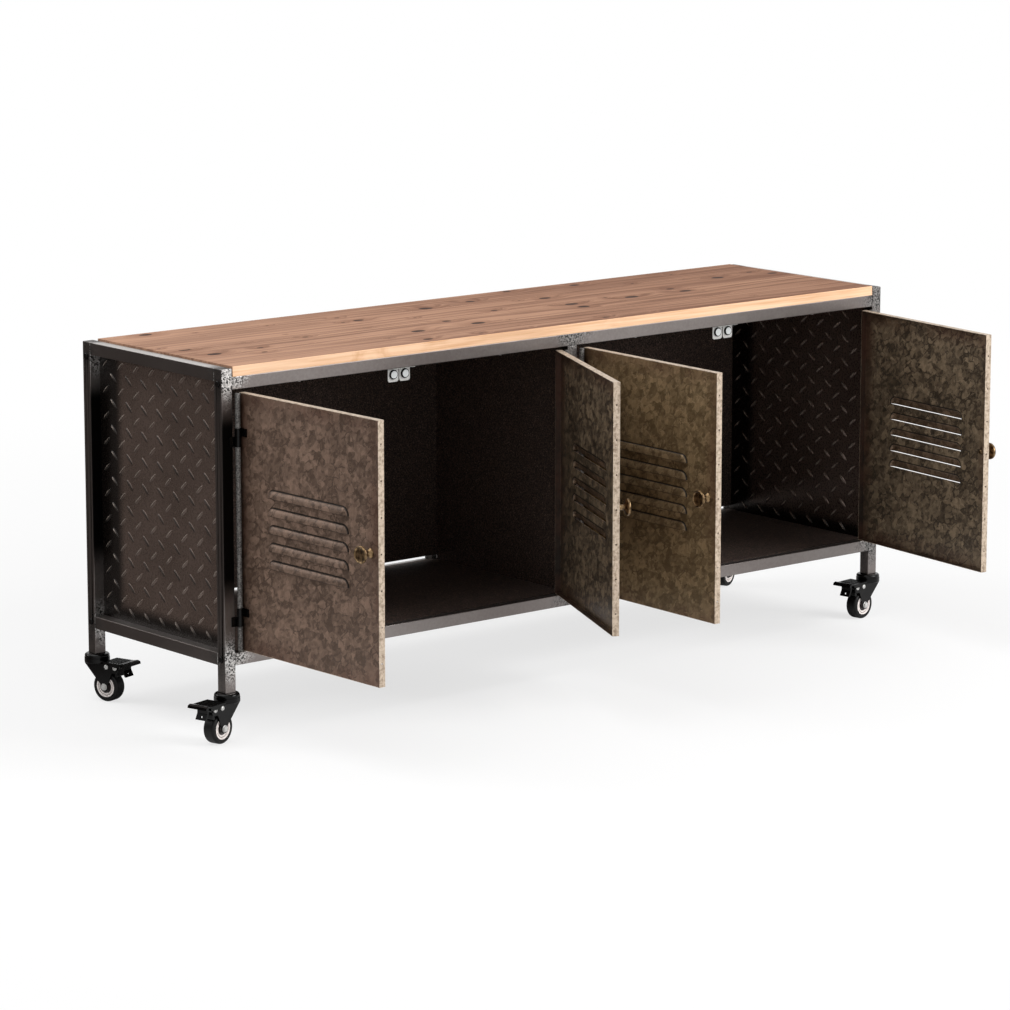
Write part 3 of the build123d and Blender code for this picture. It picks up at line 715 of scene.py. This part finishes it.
def tyre_rubber(place):
    grain = mottle(place, 700.0, 2.0)
    scuff = mottle(place, 90.0, 4.0).rise(0.5, 0.75)
    return {"Base Color": blend(scuff * 0.4, paint(10, 9, 9), paint(30, 28, 27)),
            "Roughness": 0.34 + grain * 0.2, "Specular IOR Level": 0.2,
            "Normal": bump(grain, 0.2, 0.3 * mm)}


# %% Small metal nodes
bronze = finish("aged_bronze", aged_bronze)
steel = finish("bright_steel", bright_steel)
magnet = finish("magnet_face", magnet_face)
enamel = finish("black_enamel", black_enamel)
rubber = finish("tyre_rubber", tyre_rubber)
corners = ("front_left", "rear_left", "front_right", "rear_right")
wear(enamel, "hinge_bases", "frame_bolts", "caster_stems")
wear(enamel, *[f"{name}_hinges" for name in door_names])
wear(steel, "catch_brackets", "top_screws")
wear(magnet, "catch_magnets")
for corner in corners:
    wear(enamel, f"{corner}_caster_fork", f"{corner}_caster_pedal")
    wear(rubber, f"{corner}_caster_tyre")

# %% [markdown]
# ## Turned knobs
# Each knob is a mushroom turned on a lathe: a round foot, a waist and a domed head.
# Spinning a profile about its axis is the lathe's own way, and it keeps the head perfectly round.
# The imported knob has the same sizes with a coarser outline, so the new one stands for it.

# %% Lathe work


def add_turned(shape, profile, place, steps=40):
    """Spin a profile of (radius, height) in millimetres about local Z."""
    points = [shape.verts.new(place @ Vector((radius * mm, 0, height * mm)))
              for radius, height in profile]
    lines = [shape.edges.new(pair) for pair in zip(points, points[1:])]
    axis = place.to_3x3() @ Vector((0, 0, 1))
    bmesh.ops.spin(shape, geom=points + lines, cent=place.translation, axis=axis,
                   angle=math.tau, steps=steps, use_merge=True)
    bmesh.ops.remove_doubles(shape, verts=shape.verts[:], dist=1e-6)
    for face in shape.faces:
        face.smooth = True


# %% Knobs
knob_outline = ((0, 0), (8, 0), (8, 1.0), (7.6, 1.9), (6.4, 2.8), (5.2, 4.2), (4.6, 6.5),
                (4.5, 9.5), (5.0, 12.2), (6.6, 14.2), (9.6, 15.1), (12.6, 15.8), (13.8, 16.9),
                (14.0, 18.4), (13.8, 19.8), (13.2, 20.7), (12.4, 21.0), (11.6, 20.7),
                (11.0, 19.9), (10.2, 19.5), (6.0, 19.3), (0, 19.2))
screw_outline = ((0, 0), (4, 0), (3.9, 0.9), (3.2, 1.7), (1.6, 2.0), (0, 2.0))
knob_from_edge = 20 * mm
knob_height = (door_low + door_high) / 2

for name in door_names:
    reach = door_hand(name) * (door_edge + door_width - knob_from_edge)
    outside = Matrix.Translation((reach, door_face, knob_height))
    inside = Matrix.Translation((reach, door_face + sheet, knob_height))
    shape = bmesh.new()
    add_turned(shape, knob_outline, outside @ Matrix.Rotation(quarter_turn, 4, "X"))
    add_turned(shape, screw_outline, inside @ Matrix.Rotation(-quarter_turn, 4, "X"), 24)
    piece(f"{name}_turned_knob", shape, bronze, name, door_place(name),
          (f"{name}_knob",))
print("knobs", len(door_names))

# %% [markdown]
# ## Hinge sleeves
# A thin grey sleeve on each hinge line fills the gap between post and door, above, between and
# below the two hinges. It lies on the axis, so the door swings round it and never touches it.
# A turned bar with broken edges is enough, because only a strip of it shows.

# %% Sleeves
sleeve_radius = 4.0  # lathe sizes are in millimetres
sleeve_chamfer = 0.3
hinge_seams = (door_low + 54 * mm, door_high - 67 * mm)
seam_below = 15.6 * mm
seam_above = 13.1 * mm
sleeve_lows = [door_low] + [seam + seam_above for seam in hinge_seams]
sleeve_highs = [seam - seam_below for seam in hinge_seams] + [door_high]


def sleeve_paint(place):
    grain = mottle(place, 420.0, 3.0, 0.7)
    return {"Base Color": blend(grain.rise(0.35, 0.65), paint(52, 50, 48), paint(132, 129, 126)),
            "Metallic": 0.35, "Roughness": 0.5 + grain * 0.2,
            "Normal": bump(grain, 0.2, 0.3 * mm)}


def sleeve_outline(length):
    """Half the section of a round bar with broken edges, in millimetres."""
    flat = sleeve_radius - sleeve_chamfer
    return ((0, 0), (flat, 0), (sleeve_radius, sleeve_chamfer),
            (sleeve_radius, length - sleeve_chamfer), (flat, length), (0, length))


sleeves = bmesh.new()
for name in door_names:
    hinge = joints[f"{name}_hinge"]["pos_m"]
    for low, high in zip(sleeve_lows, sleeve_highs):
        foot = Matrix.Translation((hinge[0], hinge[1], low))
        add_turned(sleeves, sleeve_outline((high - low) / mm), foot, 24)
piece("hinge_sleeves", sleeves, finish("sleeve_paint", sleeve_paint), "frame")
print("sleeves", len(door_names) * len(sleeve_lows))

# %% [markdown]
# ## Wheels
# A caster wheel here is a black tyre on an off-white centre with two raised rings and a dark
# bearing. One lathe profile gives the rings their real relief. The colours follow the radius,
# measured in the wheel's own coordinates, so they turn with it.

# %% Wheel finish
ring_inner = (10.6, 13.4)
ring_outer = 14.3
ring_fade = 0.3


def ringed_hub(place):
    x, y, _ = axes(place)
    radius = length_of(x, y) / mm
    inner = radius.rise(ring_inner[0] - ring_fade, ring_inner[0])
    inner = inner * radius.rise(ring_inner[1] + ring_fade, ring_inner[1])
    outer = radius.rise(ring_outer - ring_fade, ring_outer)
    scuff = mottle(place, 200.0)
    ring = blend(scuff.rise(0.4, 0.7), paint(240, 232, 228), paint(212, 202, 197))
    return {"Base Color": blend(inner.most(outer), paint(48, 40, 39), ring),
            "Roughness": 0.32 + scuff * 0.15, "Normal": bump(scuff, 0.1, 0.3 * mm)}


hub_finish = finish("ringed_hub", ringed_hub)

# %% Wheel centres
hub_side = ((3.05, 11.0), (6.2, 11.0), (6.5, 10.6), (6.5, 8.0), (8.8, 7.8), (10.4, 8.4),
            (10.8, 9.3), (11.6, 9.8), (12.6, 9.8), (13.3, 9.2), (13.5, 8.4), (14.1, 8.4),
            (14.3, 9.3), (15.0, 10.1), (16.2, 10.3), (17.2, 10.0), (17.5, 9.4))
hub_mirror = tuple((radius, -height) for radius, height in reversed(hub_side))
hub_outline = hub_side + hub_mirror + hub_side[:1]


def wheel_place(corner):
    """A frame at the wheel's middle with Z along its axle."""
    joint = joints[f"{corner}_wheel_roll"]
    turn = Vector((0, 0, 1)).rotation_difference(Vector(joint["axis"])).to_matrix().to_4x4()
    return Matrix.Translation(joint["pos_m"]) @ turn


for corner in corners:
    shape = bmesh.new()
    add_turned(shape, hub_outline, Matrix.Identity(4), 56)
    piece(f"{corner}_hub_rings", shape, hub_finish, f"{corner}_wheel",
          wheel_place(corner), (f"{corner}_caster_hub",))
print("wheel centres", len(corners))

# %% [markdown]
# ## Axle nuts, rivets and tread ribs
# The axle ends in a hexagon nut on a washer, two domed rivets hold the legs, and the brake pedal
# has ribs against slipping. They are only a few millimetres, but their glints give the caster its
# scale. They are made in the caster's own frame, with X along the trail.

# %% Caster frames


def caster_place(corner):
    """The frame under a post, with X along the trail and Z up from the floor."""
    swivel = joints[f"{corner}_swivel_turn"]["pos_m"]
    wheel = joints[f"{corner}_wheel_roll"]["pos_m"]
    angle = math.atan2(wheel[1] - swivel[1], wheel[0] - swivel[0])
    return Matrix.Translation((swivel[0], swivel[1], 0)) @ Matrix.Rotation(angle, 4, "Z")


for corner in corners:
    heading = math.degrees(caster_place(corner).to_euler().z)
    print(corner, "caster trails at", round(heading), "degrees")

# %% Bolts and rivets
leg_face = 13.6
axle_height = 24.5
trail = 23.0
pivot_height = 58.0
pivot_places = (45.0, 28.0)
washer_outline = ((0, 0), (5.6, 0), (5.6, 0.5), (5.3, 0.7), (0, 0.7))
stud_outline = ((0, 0), (2.6, 0), (2.6, 2.5), (2.1, 3.0), (0, 3.0))
rivet_outline = ((0, 0), (4.0, 0), (3.9, 0.6), (3.3, 1.3), (2.2, 1.75), (1.4, 1.85), (1.2, 1.3),
                 (0, 1.2))
nut_seat = 0.6
nut_radius = 5.0
nut_height = 2.2
nut_chamfer = 0.35


def add_nut(shape, place):
    """A hexagon nut with broken edges, standing on local XY."""
    middle = place @ Matrix.Translation((0, 0, nut_height / 2 * mm))
    made = bmesh.ops.create_cone(shape, cap_ends=True, segments=6, radius1=nut_radius * mm,
                                 radius2=nut_radius * mm, depth=nut_height * mm, matrix=middle)
    edges = {edge for vert in made["verts"] for edge in vert.link_edges}
    bmesh.ops.bevel(shape, geom=list(edges), offset=nut_chamfer * mm, segments=2, affect="EDGES")


def on_leg(u, height, way):
    """A frame on the outer face of a leg, with Z pointing away from the wheel."""
    turn = Matrix.Rotation(-quarter_turn * way, 4, "X")
    return Matrix.Translation((u * mm, way * leg_face * mm, height * mm)) @ turn


for corner in corners:
    shape = bmesh.new()
    for way in (-1, 1):
        axle = on_leg(trail, axle_height, way)
        add_nut(shape, axle @ Matrix.Translation((0, 0, nut_seat * mm)))
        add_turned(shape, washer_outline, axle, 32)
        add_turned(shape, stud_outline, axle, 20)
        for u in pivot_places:
            add_turned(shape, rivet_outline, on_leg(u, pivot_height, way), 24)
    piece(f"{corner}_axle_nuts", shape, steel, f"{corner}_swivel",
          caster_place(corner), (f"{corner}_caster_axle",))
print("axle sets", len(corners))

# %% Tread ribs
tread_top = 67.0
rib_places = (29, 34, 39, 44, 49, 54)
rib_half_length = 15.5
rib_half_width = 1.1
rib_taper = 0.6
rib_rise = 1.0
rib_root = 0.3
rib_rounding = 0.3


def add_rib(shape, u):
    """A rounded bar across the tread, narrower at its top."""
    bar = bmesh.ops.create_cube(shape, size=1.0)["verts"]
    for vert in bar:
        raised = vert.co.z > 0
        half = rib_half_width * (rib_taper if raised else 1.0)
        height = tread_top + (rib_rise if raised else -rib_root)
        vert.co = Vector((u + math.copysign(half, vert.co.x),
                          math.copysign(rib_half_length, vert.co.y), height)) * mm
    edges = {edge for vert in bar for edge in vert.link_edges}
    bmesh.ops.bevel(shape, geom=list(edges), offset=rib_rounding * mm, segments=2, affect="EDGES")


for corner in corners:
    shape = bmesh.new()
    for u in rib_places:
        add_rib(shape, u)
    piece(f"{corner}_tread_ribs", shape, enamel, f"{corner}_pedal",
          caster_place(corner))
print("ribs", len(rib_places) * len(corners))

# %% [markdown]
# ## Catch cups and plate rivets
# Each magnet sits in a dark plastic cup that leaves a ring round it, and two small rivets hold the
# plate. The ring is what makes the catch readable from across a room.
# Both are lathe work as well, turned to face forward.

# %% Catches
catch_low, catch_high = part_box("catch_magnets")
magnet_radius = 6.0
cup_outline = ((magnet_radius + 0.05, 0), (magnet_radius + 0.05, 2.6), (magnet_radius + 0.5, 2.8),
               (magnet_radius + 1.4, 2.4), (magnet_radius + 1.7, 0))
plate_rivet_outline = ((0, 0), (1.4, 0), (1.2, 0.5), (0, 0.7))
plate_rivet_place = (8.2 * mm, 8.6 * mm)
catch_offset = 11.5 * mm
catch_height = (catch_low.z + catch_high.z) / 2
bay_centre = ((catch_low.x + catch_high.x) / 2
              + (catch_high.x - magnet_radius * mm - catch_offset))
cups = bmesh.new()
rivets = bmesh.new()
for bay in (-1, 1):
    for way in (-1, 1):
        middle = Vector((bay * bay_centre + way * catch_offset, catch_high.y, catch_height))
        forward = Matrix.Translation(middle) @ Matrix.Rotation(quarter_turn, 4, "X")
        add_turned(cups, cup_outline + cup_outline[:1], forward, 36)
        for side in (-1, 1):
            beside = Matrix.Translation((side * plate_rivet_place[0], plate_rivet_place[1], 0))
            add_turned(rivets, plate_rivet_outline, forward @ beside, 16)
piece("catch_cups", cups, enamel, "frame")
piece("catch_rivets", rivets, steel, "frame")
print("catch pieces made at", round(bay_centre, 4))

# %% [markdown]
# ## Stage
# A pale floor, soft lamps and the photographed viewpoint. The lamp in front and to the right is the
# strongest, as the front rails are the brightest metal. A weak one behind and to the left grazes
# the left end, so that its lugs stand out while the plate stays dark.
# The floor answers camera rays with part white, so it reads as a white sweep but keeps the shadow.
# Metal mirrors white on the side of the main lamp and a dim room on the other.

# %% Floor
half_floor = 60.0
lamp_side = (0.64, -0.77)
footprint = ((0.8, 0.68), (0.3, 0.18))


def toward_lamp(x, y):
    """How far a place lies to the side of the main lamp."""
    return x * lamp_side[0] + y * lamp_side[1]


floor_mesh = bpy.data.meshes.new("floor")
floor_mesh.from_pydata([(-half_floor, -half_floor, 0), (half_floor, -half_floor, 0),
                        (half_floor, half_floor, 0), (-half_floor, half_floor, 0)],
                       [], [(0, 1, 2, 3)])
floor = bpy.data.objects.new("floor", floor_mesh)
bpy.context.scene.collection.objects.link(floor)
floor_finish = bpy.data.materials.new("pale_floor")
floor_finish.use_nodes = True
floor_tree = floor_finish.node_tree
floor_shader = floor_tree.nodes["Principled BSDF"]
floor_shader.inputs["Roughness"].default_value = 0.8
floor_place = Wire(floor_tree).node("TexCoord", output="Object")
floor_x, floor_y, _ = axes(floor_place)
rays = floor_place.node("LightPath", output="Is Camera Ray")
mirrored = rays.also("Is Glossy Ray").most(rays.also("Is Transmission Ray"))
shaded = mirrored * toward_lamp(floor_x, floor_y).rise(-0.3, -0.9)
beneath = abs(floor_x).rise(*footprint[0]) * abs(floor_y).rise(*footprint[1])
whitened = rays * (0.7 + 0.3 * length_of(floor_x, floor_y).rise(0.9, 2.6))
seen = whitened + (mirrored - shaded - beneath).most(0)
floor_tone = blend(shaded, (0.9, 0.9, 0.9, 1), (0.08, 0.06, 0.05, 1))
floor_tree.links.new(floor_tone.socket, floor_shader.inputs["Base Color"])
white = floor_place.node("Emission", {}, {"Color": (1, 1, 1, 1), "Strength": 1.0})
lit = Wire(floor_tree, floor_shader.outputs[0])
mixed = floor_place.node("MixShader", {}, {0: seen, 1: lit, 2: white})
floor_tree.links.new(mixed.socket, floor_tree.nodes["Material Output"].inputs["Surface"])
floor_mesh.materials.append(floor_finish)
print("floor has", len(floor_tree.nodes), "nodes")

# %% World
world = bpy.data.worlds.new("studio")
bpy.context.scene.world = world
world.use_nodes = True
world_tree = world.node_tree
sky_rays = Wire(world_tree).node("LightPath", output="Is Camera Ray")
sky_x, sky_y, sky_z = axes(sky_rays.node("TexCoord", output="Generated"))
open_sky = toward_lamp(sky_x, sky_y).rise(-0.7, -0.15).most(sky_z.rise(0.2, 0.6))
mirror_tone = blend(open_sky, (0.05, 0.04, 0.035, 1), (1, 1, 1, 1))
sky_tone = blend(sky_rays.also("Is Glossy Ray"), (0.35, 0.35, 0.35, 1), mirror_tone)
sky_tone = blend(sky_rays, sky_tone, (1, 1, 1, 1))
world_tree.links.new(sky_tone.socket, world_tree.nodes["Background"].inputs["Color"])
print("world has", len(world_tree.nodes), "nodes")

# %% Lamps
lamp_aim = Vector((0, -0.1, 0.3))
lamps = {"front_softbox": ((2.6, -4.6, 3.0), 3.0, 300),
         "top_softbox": ((-1.4, 0.3, 3.5), 3.0, 70),
         "left_fill": ((-3.2, 3.4, 2.2), 1.8, 44)}
for name, (lamp_place, size, power) in lamps.items():
    data = bpy.data.lights.new(name, "AREA")
    data.size = size
    data.energy = power
    lamp = bpy.data.objects.new(name, data)
    lamp.location = lamp_place
    lamp.rotation_euler = (lamp_aim - Vector(lamp_place)).to_track_quat("-Z", "Y").to_euler()
    bpy.context.scene.collection.objects.link(lamp)
print("lamps", len(lamps))

# %% Camera
image_size = 1010
focal_pixels = 4197.9
camera_place = (-4.3806, -5.2755, 1.5958)
camera_pitch = 11.052
camera_heading = 39.789
camera_data = bpy.data.cameras.new("photo_camera")
camera_data.sensor_width = 36.0
camera_data.lens = focal_pixels / image_size * camera_data.sensor_width
camera_data.clip_end = 200.0
camera = bpy.data.objects.new("photo_camera", camera_data)
camera.location = camera_place
camera.rotation_euler = (math.radians(90 - camera_pitch), 0, math.radians(-camera_heading))
bpy.context.scene.collection.objects.link(camera)
bpy.context.scene.camera = camera
bpy.context.scene.view_settings.view_transform = "Standard"
print("lens", round(camera_data.lens, 2), "mm")
